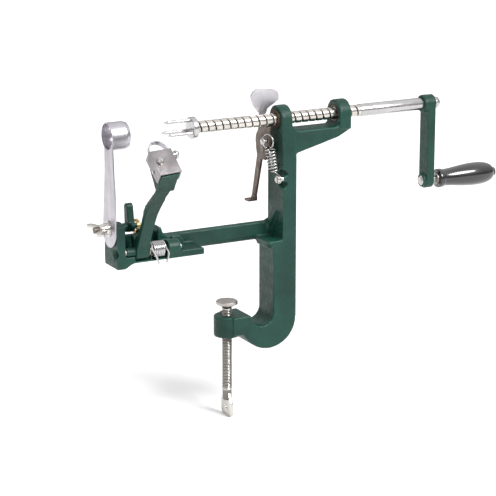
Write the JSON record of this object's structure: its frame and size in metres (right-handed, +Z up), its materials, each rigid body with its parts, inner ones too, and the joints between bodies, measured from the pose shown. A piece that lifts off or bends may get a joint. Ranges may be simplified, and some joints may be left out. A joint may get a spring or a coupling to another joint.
{
  "type": "apple peeler corer",
  "caption": "Clamp-on hand-cranked apple peeler, corer and slicer: green cast frame, threaded feed shaft with fork, sprung peeling arm, coring blade and black grip.",
  "frame": {"origin": "where the axis of the table clamp's screw meets the plane of the table top, which the foot and the edge rest stand on", "axes": "+X along the lead screw towards the crank, +Y away from the peeling arm, +Z up"},
  "size_m": [0.3664, 0.0936, 0.2602],
  "materials": {
    "green_paint": "stove-enamelled casting, satin with a fine orange-peel",
    "bright_steel": "bright plated steel",
    "brushed_steel": "fine ground blade steel",
    "dark_steel": "dull oiled pressing",
    "zinc": "zinc plated, slightly dull",
    "nickel": "nickel plated",
    "bronze": "sintered bronze",
    "brass": "drawn brass wire",
    "black_grip": "polished black"
  },
  "bodies": {
    "frame": {"frame_casting": "green_paint", "left_bush": "bronze", "right_bush": "bronze", "lever_screw": "dark_steel", "lever_spacer": "zinc", "spring_stud": "nickel", "lever_spring": "bright_steel", "arm_pivot_pin": "zinc", "arm_pin_clip": "dark_steel", "arm_spacer": "dark_steel", "arm_spring": "bright_steel", "latch_screw": "zinc", "latch_spring": "brass", "slicer_bolt": "dark_steel"},
    "sleeve": {"screw_sleeve": "bright_steel"},
    "lead_screw": {"lead_screw": "bright_steel", "fork_hub": "bright_steel", "fork_prongs": "bright_steel", "fork_pin": "zinc", "crank_arm": "green_paint", "crank_nut": "bright_steel", "crank_key_pin": "zinc", "grip_bolt": "bright_steel", "grip_washer": "zinc"},
    "grip": {"grip": "black_grip", "grip_end_cap": "black_grip"},
    "lever": {"release_lever": "dark_steel", "thumb_plate": "bright_steel", "thumb_plate_rivets": "zinc", "lever_spring_pin": "bright_steel"},
    "arm": {"peeler_arm": "green_paint", "carrier_pivot": "bright_steel"},
    "carrier": {"blade_carrier": "brushed_steel", "peeling_blade": "brushed_steel", "blade_screw": "bright_steel", "depth_screw": "bright_steel", "depth_lock_nut": "zinc"},
    "latch": {"arm_latch": "green_paint"},
    "slicer": {"slicing_blade": "brushed_steel", "coring_ring": "brushed_steel"},
    "washer": {"slicer_washer": "nickel"},
    "wing_nut": {"wing_nut": "nickel"},
    "clamp_pad": {"clamp_pad": "zinc"},
    "clamp_screw": {"clamp_screw": "zinc", "clamp_paddle": "nickel", "paddle_pin": "zinc"}
  },
  "joints": [
    {"name": "screw_travel", "type": "slide", "parent": "frame", "child": "sleeve", "axis": [1, 0, 0], "range_m": [-0.06351, 0.05081]},
    {"name": "screw_turn", "type": "hinge", "parent": "sleeve", "child": "lead_screw", "pos_m": [0.1, 0, 0.1014], "axis": [1, 0, 0], "range_deg": [-3600, 2880]},
    {"name": "grip_spin", "type": "hinge", "parent": "lead_screw", "child": "grip", "pos_m": [0.22, 0, 0.0374], "axis": [1, 0, 0], "continuous": true},
    {"name": "lever_release", "type": "hinge", "parent": "frame", "child": "lever", "pos_m": [0.0375, 0.009, 0.077], "axis": [1, 0, 0], "range_deg": [-14, 0], "stiffness_Nm_per_rad": 0.12, "springref_deg": 20.05, "deforming": ["lever_spring"]},
    {"name": "arm_swing", "type": "hinge", "parent": "frame", "child": "arm", "pos_m": [-0.078, -0.009, 0.012], "axis": [1, 0, 0], "range_deg": [-10, 45], "stiffness_Nm_per_rad": 0.25, "springref_deg": -4.99},
    {"name": "carrier_rock", "type": "hinge", "parent": "arm", "child": "carrier", "pos_m": [-0.07952, -0.05484, 0.08436], "axis": [0.9976, 0, 0.0698], "range_deg": [-8, 8]},
    {"name": "latch_swing", "type": "hinge", "parent": "frame", "child": "latch", "pos_m": [-0.0799, 0.0075, 0.0275], "axis": [1, 0, 0], "range_deg": [-20, 8], "stiffness_Nm_per_rad": 0.03},
    {"name": "slicer_swing", "type": "hinge", "parent": "frame", "child": "slicer", "pos_m": [-0.1, 0, 0.0302], "axis": [1, 0, 0], "range_deg": [-90, 8]},
    {"name": "nut_travel", "type": "slide", "parent": "frame", "child": "washer", "axis": [1, 0, 0], "range_m": [-0.0024, 0]},
    {"name": "nut_turn", "type": "hinge", "parent": "washer", "child": "wing_nut", "pos_m": [-0.105, 0, 0.0302], "axis": [1, 0, 0], "range_deg": [-1081, 1]},
    {"name": "clamp_travel", "type": "slide", "parent": "frame", "child": "clamp_pad", "axis": [0, 0, 1], "range_m": [-0.00625, 0.035]},
    {"name": "clamp_turn", "type": "hinge", "parent": "clamp_pad", "child": "clamp_screw", "pos_m": [0, 0, -0.08], "axis": [0, 0, 1], "range_deg": [-1801, 10081]}
  ],
  "couplings": [
    {"joint": "screw_travel", "follows": "screw_turn", "m_per_rad": 0.0010106},
    {"joint": "nut_turn", "follows": "nut_travel", "rad_per_m": 7854},
    {"joint": "clamp_turn", "follows": "clamp_travel", "rad_per_m": 5026.5}
  ]
}
